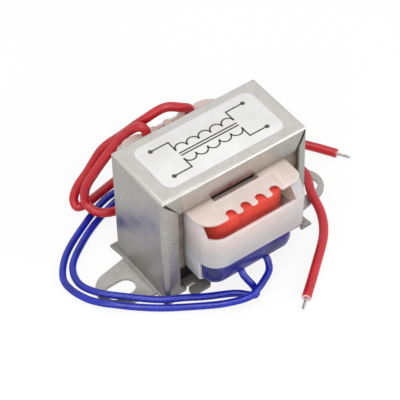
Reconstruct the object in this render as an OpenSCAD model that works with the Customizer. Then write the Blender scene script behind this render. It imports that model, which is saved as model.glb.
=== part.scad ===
// Small laminated mains transformer held in a folded steel chassis bracket.
// Origin: centre of the bracket's footprint, on the face that the feet stand on.
// +X runs from foot to foot, +Y to the side where the red leads leave, +Z up.

/* [Laminations] */
// Width of an E lamination across its three legs
lam_w = 41; // [40:0.5:43]
// Height of an E and an I lamination put together
lam_h = 33; // [32:0.5:36]
// Width of the centre leg
leg_w = 13; // [11:0.5:14]
// Width of an outer leg and height of a yoke
yoke = 6; // [5:0.25:6.5]
// Thickness of one lamination
lam_t = 0.5; // [0.45:0.01:0.55]
// Number of laminations in the stack, an odd number
lam_count = 37; // [33:2:41]
// Number of E laminations at each face of the stack that have no I
bare_count = 3; // [1:1:5]

/* [Bracket] */
// Thickness of the bracket's sheet
sheet = 0.8; // [0.6:0.1:1]
// Play between the stack and the bracket's lips, on each side
stack_gap = 0.75; // [0.55:0.05:0.9]
// Play between the stack and the bracket's legs, on each side
side_gap = 0.12; // [0.12:0.01:0.2]
// Outer radius of the folded edges
fold_r = 1.3; // [1.1:0.1:1.8]
// Height of the lips folded down from the top plate
top_lip = 6; // [4.5:0.25:6.5]
// Width of the wide lip folded in from each leg
wide_lip = 4.4; // [3.8:0.1:4.8]
// Width of the narrow lip folded in from each leg's other side
narrow_lip = 2.4; // [2:0.1:3.4]
// Width of the open mitre between a leg's lip and the top lip
mitre_gap = 0.55; // [0.3:0.05:0.8]
// Width of the gap between the top lip's end and the narrow lip
narrow_gap = 1.3; // [0.4:0.1:1.6]
// How far the foot of a leg's lip widens
lip_foot = 1.7; // [1:0.1:2]
// Height of the widened foot
lip_foot_z = 2.9; // [2.4:0.1:3.5]
// Distance from a leg's outer face to a foot's tip
foot_reach = 12.7; // [11.5:0.1:14]
// Width of a foot where it leaves the leg
foot_root = 14.2; // [12:0.2:16]
// Radius of a foot's round tip
foot_tip_r = 5.8; // [5.2:0.1:6.5]
// Offset of the feet from the bracket's middle plane
foot_y = -0.5; // [-1:0.1:1]
// Width of the mounting slots
slot_w = 5; // [3.5:0.1:5.2]
// End-to-end length of the mounting slots
slot_l = 8; // [6:0.1:8.4]
// Distance from the bracket's side to the centre of a mounting slot
slot_out = 6.98; // [6.8:0.01:7.3]
// Offset of the slots from the bracket's middle plane
slot_y = -1.3; // [-1.8:0.1:1]
// Length of the tabs folded under the stack, beyond the leg lips
tab_l = 6.5; // [4:0.5:8]
// Depth of those tabs from the bracket's front and rear faces
tab_d = 3.4; // [2.5:0.1:4.5]
// Length of the toe that stands out in front of the tab on the wide lip's side
toe_l = 5.8; // [4:0.2:6.4]
// Reach of the toe in front of the bracket's face
toe_reach = 2.7; // [2:0.1:3.2]
// Radius of the toe's corners
toe_r = 1.2; // [0.6:0.1:1.4]
// How far the ears at the ends of the foot folds stand out
ear = 1.3; // [0.8:0.1:1.8]

/* [Bobbin] */
// Wall of the bobbin's tube and thickness of its flanges
wall = 0.9; // [0.8:0.05:1.1]
// Play round the moulded parts in the core's window
play = 0.15; // [0.1:0.05:0.25]
// Distance from the bracket's front face to the top flange's front edge
flange_out = 7.1; // [6.6:0.1:8]
// How far the top flange and cover stand wider than the core's window, on each side
shoulder = 0.15; // [0:0.05:0.3]
// Radius of the flange's and cover's two large corners
corner_r = 5.2; // [4.4:0.1:5.6]
// Radius of their two small corners
small_r = 2.5; // [2:0.1:3.5]
// Height of the partition flange's underside above the bottom flange's
partition_z = 10; // [8:0.1:11]
// Width of the lead notches in the top flange
notch_w = 2.5; // [2.5:0.1:2.8]
// Depth of the lead notches
notch_d = 2.5; // [2.3:0.1:2.8]
// Distance between neighbouring lead notches
notch_pitch = 4.3; // [3.9:0.1:4.6]
// Number of lead notches at each end
notch_count = 4; // [3:1:4]
// Sideways offset of the notch rows
notch_x = 0.5; // [-0.8:0.1:0.8]
// Radius of the rounded teeth between the notches
tooth_r = 0.6; // [0.3:0.1:0.8]
// Width of the slot beside the core in the top flange
trough_w = 13.2; // [10:0.2:14]
// Sideways offset of that slot
trough_x = -0.5; // [-0.6:0.1:0.6]
// Distance from the bracket's front face to the slot's front edge
trough_out = 0.85; // [0.6:0.05:1.2]
// How far the comb with the notches lies below the flange's shoulders
comb_drop = 0.35; // [0.2:0.05:0.45]
// Distance from the comb's left end to the middle plane
comb_left = 7.9; // [7.6:0.1:8.4]
// Distance from the comb's right end to the middle plane
comb_right = 9.3; // [8.8:0.1:9.8]
// Distance from the bracket's front face to the comb's rear edge
comb_out = 1.6; // [1.3:0.1:2]

/* [Cover] */
// Wall of the winding cover
cover_t = 0.8; // [0.6:0.05:0.9]
// How far the band stands out in front of the top flange's edge
band_out = 2.5; // [1.5:0.1:3]
// How much narrower each side of the cover is at its foot
draft = 0.6; // [0.3:0.1:0.8]
// Height of the band's lower edge above the bottom flange's underside
band_z = 6.7; // [5.5:0.1:7.5]
// Height of the band's upper edge above the bottom flange's underside
band_top = 16.8; // [15:0.1:17.4]
// Distance from the bracket's front face to the front ends of the side walls
side_out = 4; // [3.4:0.1:4.4]
// Distance from the window's left end to the cover's middle plane
window_left = 13.5; // [12:0.1:13.6]
// Distance from the window's right end to the cover's middle plane
window_right = 10.9; // [10:0.1:11.6]

/* [Windings] */
// Space left beside the primary's tape, up to the partition's rim
primary_side = 1.6; // [1.2:0.1:2.4]
// Space left in front of the primary's tape, up to the partition's rim
primary_front = 0.15; // [0.1:0.05:0.6]
// Space left beside the secondary's tape, up to the partition's rim
secondary_side = 0.3; // [0.2:0.05:1]
// Space left in front of the secondary's tape, up to the partition's rim
secondary_front = 0.55; // [0.3:0.05:1]
// Radius of the windings' outer corners
winding_r = 4.2; // [3.5:0.1:4.8]
// Thickness of the tape round each winding
tape = 0.3; // [0.2:0.05:0.35]
// Height left free above the primary winding
primary_free = 0.8; // [0.5:0.1:1.2]
// How far the secondary's tape bulges past the top flange's edge
bulge = 0.3; // [0.1:0.1:0.8]
// How far the secondary's tape hangs below the bottom flange
tape_drop = 2.4; // [1.5:0.1:2.8]
// Radius of the tape's round lower edge
skirt_r = 3; // [2:0.1:3.2]
// Radius of the soldered splices inside the windings
splice_r = 0.7; // [0.5:0.05:0.9]
// Length of a splice
splice_l = 6; // [4:0.5:8]

/* [Label] */
// Length of the label
label_w = 34.8; // [30:0.2:36]
// Width of the label
label_d = 15.6; // [12:0.2:16]
// Thickness of the label
label_t = 0.12; // [0.1:0.01:0.2]
// Radius of the label's corners
label_r = 2.4; // [1:0.1:3]

/* [Leads] */
// Diameter of the red leads
red_d = 2.4; // [2:0.1:2.4]
// Diameter of the blue leads
blue_d = 1.8; // [1.5:0.1:1.8]
// Diameter of the tinned conductors
conductor_d = 0.8; // [0.5:0.05:0.9]
// Length of a stripped conductor
conductor_l = 3.4; // [2.5:0.1:4]

/* [Hidden] */

// Overrun of every cut past the face it leaves.
over = 1;
// The sides of a lead's tube.
lead_sides = 8;
// Facets of one rounded corner.
corner_steps = 8;
$fn = 64;

// The stack and the bracket that wraps it.
stack = lam_t * lam_count;
body_w = lam_w + 2 * side_gap + 2 * sheet;
body_d = stack + 2 * stack_gap + 2 * sheet;
body_h = lam_h + 2 * sheet;
core_z = sheet;
// Edges of the two leg lips at the front.
lip_left = wide_lip - body_w / 2;
lip_right = body_w / 2 - narrow_lip;
// Radius on the inside of the top and foot folds.
bend_r = fold_r - sheet;
// Radius on the inside of the folds in front of the stack, which its edges clear.
lip_bend_r = min(bend_r, stack_gap);
// The upper corners of the laminations are cut to clear the top folds.
lam_corner = bend_r;
// Centre of the bend between a leg and its foot.
bend_x = body_w / 2 + bend_r;
bend_z = sheet + bend_r;
foot_tip_x = body_w / 2 + foot_reach - foot_tip_r;
slot_x = body_w / 2 + slot_out;

// The core's window, which holds the bobbin.
window_w = (lam_w - leg_w - 2 * yoke) / 2;
window_z = core_z + yoke;
window_top = core_z + lam_h - yoke;

// The bobbin's tube and its three flanges.
flange_r = [corner_r, small_r];
tube_in_w = leg_w + 2 * play;
tube_in_d = stack + 2 * play;
tube_w = tube_in_w + 2 * wall;
tube_d = tube_in_d + 2 * wall;
bobbin_z = window_z + play;
bobbin_top = window_top - play;
top_flange_z = bobbin_top - wall;
partition_bottom = bobbin_z + partition_z;
partition_top = partition_bottom + wall;
inner_half = leg_w / 2 + window_w - play;
outer_half = inner_half + play + shoulder;
front = body_d / 2 + flange_out;
// The drafted cover, from its foot past its band to the top flange.
foot_half = outer_half - draft;
band_front = front + band_out;
band_half = outer_half - draft * (1 - band_top / (top_flange_z - bobbin_z));
cavity_r = [corner_r - cover_t, small_r - cover_t];
// The lower flanges fit inside the cover, with the tape between them and its walls.
low_half = foot_half - cover_t - play - tape;
low_front = front - cover_t - play;
// The core's faces, where the wide part of the flange and cover starts.
face_y = stack / 2 + play;

// The windings between the flanges.
primary_w = 2 * (low_half - primary_side - tape);
primary_d = 2 * (low_front - primary_front - tape);
primary_top = top_flange_z - primary_free;
secondary_w = 2 * (low_half - secondary_side - tape);
secondary_d = 2 * (low_front - secondary_front - tape);
secondary_z = bobbin_z + wall;
skirt_z = bobbin_z - tape_drop;
skirt_top = bobbin_z + band_z;
skirt_front = front + bulge;
skirt_half = low_half + tape;
// The skirt's lower edge turns in equal steps, and the leads leave its middle one.
skirt_angles = [0, 30, 60, 90];
skirt_mid = skirt_r * (1 - (sin(skirt_angles[1]) + sin(skirt_angles[2])) / 2);

// Where the leads leave: straight up through a rear notch, and square to the skirt's edge.
function rear_notch(i) = [
    notch_pitch * ((notch_count - 1) / 2 - min(i, notch_count - 1)) - notch_x, front - notch_d + notch_w / 2, primary_top
];
function skirt_exit(x) = [x, skirt_mid - skirt_front, skirt_z + skirt_mid];
red_rise_1 = [0, 0, 2.2];
red_rise_2 = [0, 0, 1.6];
blue_drop = [0, -1, -1];

// The rest of each route, down to the floor and round the bracket to the stripped end.
red_route_1 = concat([rear_notch(0), rear_notch(0) + red_rise_1], [
    [4, 16.8, 29.6], [0.5, 18.8, 30.2], [-5, 21, 27.2], [-9.5, 23.5, 23], [-13.5, 27, 17.5],
    [-17.5, 28.5, 10.5], [-20.5, 29.5, 5.5], [-22, 29, 2.5], [-22, 27.5, 1.2], [-20, 27, 1.2],
    [-17, 27.5, 1.2], [-10, 29, 1.2], [4, 31.5, 1.2], [20, 27.5, 1.2],
    [32.5, 17, 1.2], [38.5, 9, 1.2], [42.5, 2.5, 1.2]
]);
red_route_2 = concat([rear_notch(3), rear_notch(3) + red_rise_2], [
    [-7, 17, 28.4], [-7.5, 17.8, 28.9], [-8.3, 18.8, 28.6], [-9.7, 20, 27.2], [-11, 21.8, 24.2],
    [-13, 22.6, 21.4],
    [-17.5, 24, 15], [-20.5, 25.5, 8], [-21, 24.5, 4.5], [-20, 21.5, 3.3], [-16.5, 19.5, 2.8],
    [-11, 20.5, 1.8], [4, 21.8, 1.2], [20, 17.5, 1.2], [29, 9, 1.9],
    [31, 2, 2.1], [28, -5, 2.1], [26, -11.5, 1.5], [22.5, -17, 1.2], [14, -24.5, 1.2], [6, -31, 1.2]
]);
blue_route_1 = concat([skirt_exit(4), skirt_exit(4) + blue_drop], [
    [3, -20, 3.5], [-0.5, -22, 3.1], [-3, -23, 3], [-5.5, -23.5, 2.8], [-10.5, -21, 1.5],
    [-18, -16.2, 0.9], [-24, -12.3, 1], [-29.8, -7.8, 1.4], [-32.3, -5.6, 1.7],
    [-34.6, -3, 1.5], [-36.8, 1, 0.9], [-38.2, 5.5, 0.9],
    [-38, 9.5, 0.9], [-33.5, 15.5, 0.9], [-23, 22, 0.9], [-15, 25.5, 0.9], [-8, 26.5, 0.9], [0, 27.5, 0.9],
    [10, 27, 0.9]
]);
blue_route_2 = concat([skirt_exit(-3.5), skirt_exit(-3.5) + blue_drop], [
    [-3, -19.3, 3.3], [-2.3, -20.7, 1.8], [-2.3, -22, 1], [-3.3, -22.6, 0.9], [-4.5, -21.5, 0.9],
    [-6.5, -19.5, 0.9], [-13.5, -15.8, 1.1], [-18, -13.6, 1.8], [-23, -10.7, 1.9],
    [-29.2, -4.8, 1.85], [-34, 0.5, 1.85], [-35.7, 6, 1.1], [-34, 11.5, 0.9], [-27, 17.2, 0.9],
    [-18.5, 21.5, 0.9], [-10, 24.2, 0.9], [2, 25, 0.9], [9, 24.5, 0.9]
]);

// ---- Shapes shared by several parts ----

// Corner points of a rounded rectangle, counter-clockwise from its right side. Its corners
// have one radius, or two in turn, and then it looks the same after half a turn.
function round_points(w, d, radii) = [
    for (q = [0:3], s = [0:corner_steps])
        let (a = 90 * q + 90 * s / corner_steps,
             r = is_list(radii) ? radii[q % 2] : radii,
             sx = (q == 0 || q == 3) ? 1 : -1,
             sy = (q < 2) ? 1 : -1)
        [sx * (w / 2 - r) + r * cos(a), sy * (d / 2 - r) + r * sin(a)]
];

// The same outline in space, from a section's half width, half depth and height.
function outline_at(section, radii) =
    [for (p = round_points(2 * section[0], 2 * section[1], radii)) [p[0], p[1], section[2]]];

// An upright prism with rounded corners, from z0 to z1.
module round_block(w, d, radii, z0, z1) {
    translate([0, 0, z0])
        linear_extrude(z1 - z0)
            polygon(round_points(w, d, radii));
}

// A closed solid through rings of points, all with the same count.
module skin(rings) {
    n = len(rings[0]);
    last = len(rings) - 1;
    walls = [for (i = [0:last - 1], k = [0:n - 1])
        let (a = i * n, b = a + n, m = (k + 1) % n)
        [a + k, b + k, b + m, a + m]];
    start = [for (k = [0:n - 1]) k];
    end = [for (k = [n - 1:-1:0]) last * n + k];
    polyhedron([for (r = rings) each r], concat([start], walls, [end]));
}

// A box centred across X, between two heights and two depths.
module bar(w, y0, y1, z0, z1) {
    translate([-w / 2, y0, z0])
        cube([w, y1 - y0, z1 - z0]);
}

// Copies a child at the front and, turned half round, at the rear.
module front_and_rear() {
    for (a = [0, 180])
        rotate([0, 0, a]) children();
}

// ---- Bracket ----

// The sheet's outer or inner form: a block whose folded edges are round.
module fold_block(w, d, h, r, lip_r) {
    intersection() {
        round_block(w, d, lip_r, 0, h);
        rotate([90, 0, 0])
            translate([0, 0, -d / 2])
                linear_extrude(d)
                    fold_arch(w, h, r);
        rotate([90, 0, 90])
            translate([0, 0, -w / 2])
                linear_extrude(w)
                    fold_arch(d, h, lip_r);
    }
}

// An upright outline with a flat foot and two round top corners.
module fold_arch(w, h, r) {
    step = 90 / corner_steps;
    right = [for (a = [0:step:90]) [w / 2 - r + r * cos(a), h - r + r * sin(a)]];
    left = [for (a = [90:step:180]) [r - w / 2 + r * cos(a), h - r + r * sin(a)]];
    polygon(concat([[-w / 2, 0], [w / 2, 0]], right, left));
}

// The open front between the lips, and the mitres at its upper corners.
module lip_opening() {
    foot_l = lip_left + lip_foot;
    foot_r = lip_right - lip_foot;
    foot_z = lip_foot_z - lip_foot;
    lip_z = body_h - top_lip;
    translate([0, -body_d / 2 + sheet, 0])
        rotate([90, 0, 0])
            linear_extrude(sheet + over) {
                polygon([[foot_l, -over], [foot_r, -over], [foot_r, foot_z], [lip_right, lip_foot_z],
                         [lip_right, lip_z], [lip_left, lip_z], [lip_left, lip_foot_z], [foot_l, foot_z]]);
                translate([-body_w / 2, lip_z]) mitre(wide_lip, mitre_gap);
                translate([body_w / 2, lip_z]) mirror([1, 0]) mitre(narrow_lip, narrow_gap);
            }
}

// One mitre, from a leg lip's upper corner to the bracket's top corner.
module mitre(lip, foot) {
    top = top_lip - bend_r;
    polygon([[lip, -mitre_gap], [lip + foot, -mitre_gap], [lip + foot, 0], [bend_r + mitre_gap, top],
             [bend_r, top - mitre_gap], [lip, mitre_gap]]);
}

// A foot's outline from its fold to its round tip.
module foot_outline() {
    root = foot_root / 2;
    // Angle at which the straight sides meet the tip's arc.
    run = foot_tip_x - bend_x;
    lean = asin((root - foot_tip_r) / run);
    step = (90 + lean) / (2 * corner_steps);
    tip = [for (a = [-90 + lean:step:90 - lean])
           [foot_tip_x + foot_tip_r * cos(a), foot_tip_r * sin(a)]];
    translate([0, foot_y])
        polygon(concat([[bend_x, root], [bend_x, -root]], tip));
}

// The slot that a screw passes through.
module foot_slot() {
    half = (slot_l - slot_w) / 2;
    for (dx = [-half, half])
        translate([slot_x + dx, slot_y, -over])
            cylinder(d = slot_w, h = sheet + 2 * over);
    translate([slot_x - half, slot_y - slot_w / 2, -over])
        cube([2 * half, slot_w, sheet + 2 * over]);
}

// The bend from a leg into its foot, a quarter tube along the whole leg.
module foot_bend() {
    translate([bend_x, 0, bend_z])
        rotate([90, 0, 0])
            intersection() {
                difference() {
                    cylinder(r = fold_r, h = body_d, center = true);
                    cylinder(r = bend_r, h = body_d + over, center = true);
                }
                translate([-fold_r, -fold_r, -body_d / 2])
                    cube([fold_r, fold_r, body_d]);
            }
}

// The pointed ear that each end of the foot's bend leaves beside the foot.
module ear_shape() {
    edge = body_d / 2;
    for (side = [-1, 1])
        linear_extrude(sheet)
            polygon([[bend_x, side * edge * 0.7], [bend_x + bend_r, side * (edge + ear)],
                     [bend_x - 2 * ear, side * (edge + ear)], [bend_x - 2 * ear, side * (edge + ear / 2)],
                     [bend_x - fold_r, side * (edge - sheet)]]);
}

// The tabs folded under the stack from the feet of the leg lips. The one on the wide lip's
// side has a toe that stands out in front.
module stack_tabs() {
    side_x = body_w / 2 - sheet;
    foot_l = lip_left + lip_foot;
    neck = toe_l / 3;
    linear_extrude(sheet)
        translate([0, -body_d / 2]) {
            translate([-side_x, 0]) square([side_x + foot_l, tab_d]);
            translate([-side_x, sheet]) square([side_x + lip_left + tab_l, tab_d - sheet]);
            translate([lip_left + tab_l - neck, -toe_r]) square([neck, 2 * sheet + toe_r]);
            translate([foot_l + toe_r + play, -toe_reach])
                translate([0, toe_r])
                    offset(r = toe_r) square([toe_l - 2 * toe_r, toe_reach - 2 * toe_r + play]);
            translate([lip_right - tab_l, 0]) square([side_x - lip_right + tab_l, tab_d]);
        }
}

module bracket() {
    color([0.72, 0.71, 0.69])
        union() {
            difference() {
                fold_block(body_w, body_d, body_h, fold_r, fold_r);
                fold_block(body_w - 2 * sheet, body_d - 2 * sheet, body_h - sheet, bend_r, lip_bend_r);
                front_and_rear() lip_opening();
                // The legs stop where their feet's bends begin.
                for (side = [-1, 1])
                    translate([side * body_w / 2 - fold_r, -body_d / 2 + sheet, -over])
                        cube([2 * fold_r, body_d - 2 * sheet, over + bend_z]);
            }
            front_and_rear() stack_tabs();
            for (side = [0, 1])
                mirror([side, 0, 0]) {
                    foot_bend();
                    ear_shape();
                    difference() {
                        linear_extrude(sheet) foot_outline();
                        foot_slot();
                    }
                }
        }
}

// ---- Label ----

module label() {
    color([0.93, 0.93, 0.92])
        round_block(label_w, label_d, label_r, body_h, body_h + label_t);
}

// ---- Laminations ----

// Outline of an E lamination standing on its open legs.
module e_outline() {
    inner = leg_w / 2 + window_w;
    difference() {
        yoke_outline(yoke, lam_h - yoke);
        for (side = [-1, 1])
            translate([side * (leg_w / 2 + inner) / 2 - window_w / 2, yoke - over])
                square([window_w, lam_h - 2 * yoke + over]);
    }
}

// A plate between two heights whose upper corners are cut.
module yoke_outline(z, h) {
    half = lam_w / 2;
    polygon([[-half, z], [half, z], [half, z + h - lam_corner], [half - lam_corner, z + h],
             [lam_corner - half, z + h], [-half, z + h - lam_corner]]);
}

// One sheet of the stack, counted from the front.
module sheet_at(i) {
    translate([0, -stack / 2 + (i + 1) * lam_t, core_z])
        rotate([90, 0, 0])
            linear_extrude(lam_t) children();
}

// The outer sheets are all upright Es. Between them Es and inverted Es take turns.
function is_bare(i) = i < bare_count || i >= lam_count - bare_count;
function is_inverted(i) = !is_bare(i) && (i - bare_count) % 2 == 0;

module e_laminations_upright() {
    color([0.42, 0.38, 0.36])
        for (i = [0:lam_count - 1])
            if (!is_inverted(i)) sheet_at(i) e_outline();
}

module e_laminations_inverted() {
    color([0.4, 0.36, 0.34])
        for (i = [0:lam_count - 1])
            if (is_inverted(i))
                sheet_at(i)
                    translate([0, lam_h]) mirror([0, 1]) e_outline();
}

// The outer sheets have no I, so the lower yoke is set back there.
module i_laminations_lower() {
    color([0.3, 0.28, 0.27])
        for (i = [0:lam_count - 1])
            if (!is_bare(i) && !is_inverted(i))
                sheet_at(i)
                    translate([-lam_w / 2, 0]) square([lam_w, yoke]);
}

module i_laminations_upper() {
    color([0.4, 0.36, 0.34])
        for (i = [0:lam_count - 1])
            if (is_inverted(i))
                sheet_at(i)
                    yoke_outline(lam_h - yoke, yoke);
}

// ---- Bobbin and cover ----

// A plate that is narrow in the core's window and wider in front of the core.
module shouldered(z0, z1, inner, outer, reach) {
    intersection() {
        round_block(2 * outer, 2 * reach, flange_r, z0, z1);
        union() {
            bar(2 * inner, -reach, reach, z0, z1);
            front_and_rear()
                bar(2 * outer, -reach, -face_y, z0, z1);
        }
    }
}

// The notches that hold the leads, cut from the top flange's front edge.
module lead_notches() {
    first = notch_x - notch_pitch * (notch_count - 1) / 2;
    depth = wall + 2 * over;
    for (i = [0:notch_count - 1])
        translate([first + i * notch_pitch, -front, top_flange_z - over]) {
            translate([0, notch_d - notch_w / 2, 0])
                cylinder(d = notch_w, h = depth);
            translate([-notch_w / 2, -over, 0])
                cube([notch_w, notch_d - notch_w / 2 + over, depth]);
            for (side = [-1, 1])
                mirror([side < 0 ? 1 : 0, 0, 0])
                    translate([notch_w / 2, 0, 0])
                        tooth_round(depth);
        }
}

// What a rounded tooth corner leaves out.
module tooth_round(depth) {
    difference() {
        translate([-over, -over, 0]) cube([over + tooth_r, over + tooth_r, depth]);
        translate([tooth_r, tooth_r, -over]) cylinder(r = tooth_r, h = depth + 2 * over);
        translate([tooth_r, -2 * over, -over]) cube([over, 2 * over + 2 * tooth_r, depth + 2 * over]);
    }
}

module bobbin() {
    color([0.93, 0.88, 0.86])
        difference() {
            union() {
                bar(tube_w, -tube_d / 2, tube_d / 2, bobbin_z, bobbin_top);
                shouldered(top_flange_z, bobbin_top, inner_half, outer_half, front);
                round_block(2 * low_half, 2 * low_front, cavity_r, partition_bottom, partition_top);
                round_block(2 * low_half, 2 * low_front - 2 * tape, cavity_r, bobbin_z, bobbin_z + wall);
            }
            bar(tube_in_w, -tube_in_d / 2, tube_in_d / 2, bobbin_z - over, bobbin_top + over);
            front_and_rear() {
                lead_notches();
                translate([trough_x, 0, 0])
                    bar(trough_w, -body_d / 2 - trough_out, -tube_in_d / 2, primary_top, bobbin_top + over);
                // The comb lies lower than the flange's shoulders.
                translate([-comb_left, -front - over, bobbin_top - comb_drop])
                    cube([comb_left + comb_right, front + over - body_d / 2 - comb_out, comb_drop + over]);
            }
        }
}

// The cover's outer form, or with an inset its cavity: drafted walls up to the band's upper
// edge, and then a slope back to the top flange's edge.
module cover_form(inset, radii, past) {
    foot = [foot_half - inset, band_front - draft - inset];
    band = [band_half - inset, band_front - inset, bobbin_z + band_top];
    top = [outer_half - inset, front - inset];
    sections = [
        [foot[0], foot[1], bobbin_z - past], [foot[0], foot[1], bobbin_z], band,
        [top[0], top[1], top_flange_z], [top[0], top[1], top_flange_z + past]
    ];
    used = past > 0 ? sections : [sections[1], sections[2], sections[3]];
    skin([for (section = used) outline_at(section, radii)]);
}

module winding_cover() {
    color([0.92, 0.86, 0.84])
        difference() {
            intersection() {
                cover_form(0, flange_r, 0);
                union() {
                    bar(2 * inner_half, -band_front, band_front, bobbin_z, top_flange_z);
                    front_and_rear()
                        bar(2 * outer_half, -band_front, -face_y, bobbin_z, top_flange_z);
                }
            }
            cover_form(cover_t, cavity_r, over);
            front_and_rear() {
                // Below the band the front is open.
                bar(2 * outer_half + over, -band_front - over, -body_d / 2 - side_out,
                    bobbin_z - over, bobbin_z + band_z);
                // Above the band a window shows the primary winding.
                translate([-window_left, -band_front - over, bobbin_z + band_top])
                    cube([window_left + window_right, band_front + over - body_d / 2,
                          top_flange_z - bobbin_z - band_top + over]);
            }
        }
}

// ---- Windings ----

// A ring wound on the tube, from its wall out to the given size.
module wound(w, d, r, z0, z1, bore_w, bore_d) {
    difference() {
        round_block(w, d, r, z0, z1);
        bar(bore_w, -bore_d / 2, bore_d / 2, z0 - over, z1 + over);
    }
}

// Tape laid once round a winding.
module taped(w, d, z0, z1) {
    difference() {
        round_block(w + 2 * tape, d + 2 * tape, winding_r + tape, z0, z1);
        round_block(w, d, winding_r, z0 - over, z1 + over);
    }
}

// Two splices that lie side by side near a winding's face.
module splice_pair(y, z, r) {
    for (side = [-1, 1])
        translate([side * splice_l * 0.75, y, z])
            rotate([0, 90, 0])
                cylinder(r = r, h = splice_l, center = true);
}

primary_splice_y = primary_d / 2 - 2 * splice_r;
primary_splice_z = primary_top - 2 * splice_r;
secondary_splice_y = -secondary_d / 2 + 2 * splice_r;
secondary_splice_z = secondary_z + 2 * splice_r;

module primary_winding() {
    color([0.72, 0.4, 0.22])
        difference() {
            wound(primary_w, primary_d, winding_r, partition_top, primary_top, tube_w, tube_d);
            splice_pair(primary_splice_y, primary_splice_z, splice_r);
        }
}

module primary_splices() {
    color([0.75, 0.75, 0.74])
        splice_pair(primary_splice_y, primary_splice_z, splice_r);
}

module primary_tape() {
    color([0.78, 0.22, 0.18])
        taped(primary_w, primary_d, partition_top, primary_top);
}

module secondary_winding() {
    color([0.72, 0.4, 0.22])
        difference() {
            wound(secondary_w, secondary_d, winding_r, secondary_z, partition_bottom, tube_w, tube_d);
            splice_pair(secondary_splice_y, secondary_splice_z, splice_r);
        }
}

module secondary_splices() {
    color([0.75, 0.75, 0.74])
        splice_pair(secondary_splice_y, secondary_splice_z, splice_r);
}

// The taped bulge below the cover's band, with a round lower edge.
module skirt_block() {
    lower = [for (a = skirt_angles)
        let (inset = skirt_r * (1 - sin(a)))
        outline_at([skirt_half - inset, skirt_front - inset, skirt_z + skirt_r * (1 - cos(a))],
                   winding_r - inset)];
    skin(concat(lower, [outline_at([skirt_half, skirt_front, skirt_top], winding_r)]));
}

module secondary_tape() {
    color([0.2, 0.2, 0.62])
        union() {
            taped(secondary_w, secondary_d, secondary_z, partition_bottom);
            difference() {
                skirt_block();
                // Room for the core, the winding, the bottom flange and the tube.
                bar(2 * outer_half, -face_y - cover_t, face_y + cover_t, skirt_z - over, skirt_top + over);
                round_block(secondary_w, secondary_d, winding_r, secondary_z, skirt_top + over);
                round_block(2 * low_half, 2 * low_front - 2 * tape, cavity_r, bobbin_z, secondary_z);
                bar(tube_w, -tube_d / 2, tube_d / 2, bobbin_z, skirt_top + over);
            }
        }
}

// ---- Leads ----

function unit(v) = v / norm(v);

// Direction of a route at one of its points.
function heading(route, i) =
    unit(route[min(i + 1, len(route) - 1)] - route[max(i - 1, 0)]);

// Side vector of each ring, carried along the route so that the tube never twists.
function carried(route, i) =
    let (t = heading(route, i))
    i == 0
        ? unit(cross(t, [1, 0.3, 0.2]))
        : let (prev = carried(route, i - 1)) unit(prev - (prev * t) * t);

function ring(centre, t, side, r) =
    let (up = cross(t, side))
    [for (k = [0:lead_sides - 1])
        centre + r * (cos(360 * k / lead_sides) * side + sin(360 * k / lead_sides) * up)];

module tube(route, r) {
    skin([for (i = [0:len(route) - 1]) ring(route[i], heading(route, i), carried(route, i), r)]);
}

// The stripped strands beyond a lead's end.
module conductor(route) {
    last = len(route) - 1;
    d = unit(route[last] - route[last - 1]);
    translate(route[last])
        rotate([0, acos(d[2]), atan2(d[1], d[0])])
            cylinder(d = conductor_d, h = conductor_l);
}

module red_lead_1() {
    color([0.84, 0.27, 0.3]) tube(red_route_1, red_d / 2);
}

module red_lead_2() {
    color([0.84, 0.27, 0.3]) tube(red_route_2, red_d / 2);
}

module blue_lead_1() {
    color([0.18, 0.22, 0.65]) tube(blue_route_1, blue_d / 2);
}

module blue_lead_2() {
    color([0.18, 0.22, 0.65]) tube(blue_route_2, blue_d / 2);
}

module red_conductor_1() {
    color([0.8, 0.8, 0.78]) conductor(red_route_1);
}

module red_conductor_2() {
    color([0.8, 0.8, 0.78]) conductor(red_route_2);
}

module blue_conductor_1() {
    color([0.8, 0.8, 0.78]) conductor(blue_route_1);
}

module blue_conductor_2() {
    color([0.8, 0.8, 0.78]) conductor(blue_route_2);
}

bracket();
label();
e_laminations_upright();
e_laminations_inverted();
i_laminations_lower();
i_laminations_upper();
bobbin();
winding_cover();
primary_winding();
primary_tape();
primary_splices();
secondary_winding();
secondary_tape();
secondary_splices();
red_lead_1();
red_lead_2();
blue_lead_1();
blue_lead_2();
red_conductor_1();
red_conductor_2();
blue_conductor_1();
blue_conductor_2();
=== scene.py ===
"""Dresses a small laminated chassis transformer: bracket, core, mouldings, windings, label, leads.

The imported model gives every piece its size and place. Each sub-assembly is a class that holds its
own sizes in millimetres, builds its meshes in metres in the model's frame, and gives them finishes.
"""

import logging
import math
from abc import ABC, abstractmethod
from dataclasses import dataclass
from enum import Enum
from typing import Sequence

import bmesh
import bpy
from mathutils import Matrix, Vector


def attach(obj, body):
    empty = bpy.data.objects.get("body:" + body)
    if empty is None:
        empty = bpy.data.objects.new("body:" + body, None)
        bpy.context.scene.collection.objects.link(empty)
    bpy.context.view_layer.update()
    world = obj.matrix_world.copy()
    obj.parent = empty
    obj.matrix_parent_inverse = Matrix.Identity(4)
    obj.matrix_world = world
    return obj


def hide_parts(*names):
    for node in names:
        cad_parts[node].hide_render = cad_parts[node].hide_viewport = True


LOG = logging.getLogger("transformer")
MM = 0.001
BODY = "root"
WHITE = (1.0, 1.0, 1.0, 1.0)

# Degrees by which an edge turns before it counts as sharp, and below which faces count as flat.
SHARP = 30.0
SHARP_SHEET = 40.0
FLAT = 0.3
# Corners nearer than this, in millimetres, are one corner.
MERGE = 0.002
ROUND_STEPS = 2

Point = tuple[float, float, float]
Colour = tuple[float, float, float]
Range = tuple[float, float]
Socket = bpy.types.NodeSocket
Piece = bpy.types.Object
Mesh = bpy.types.Mesh
Material = bpy.types.Material
Build = bmesh.types.BMesh


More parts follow.
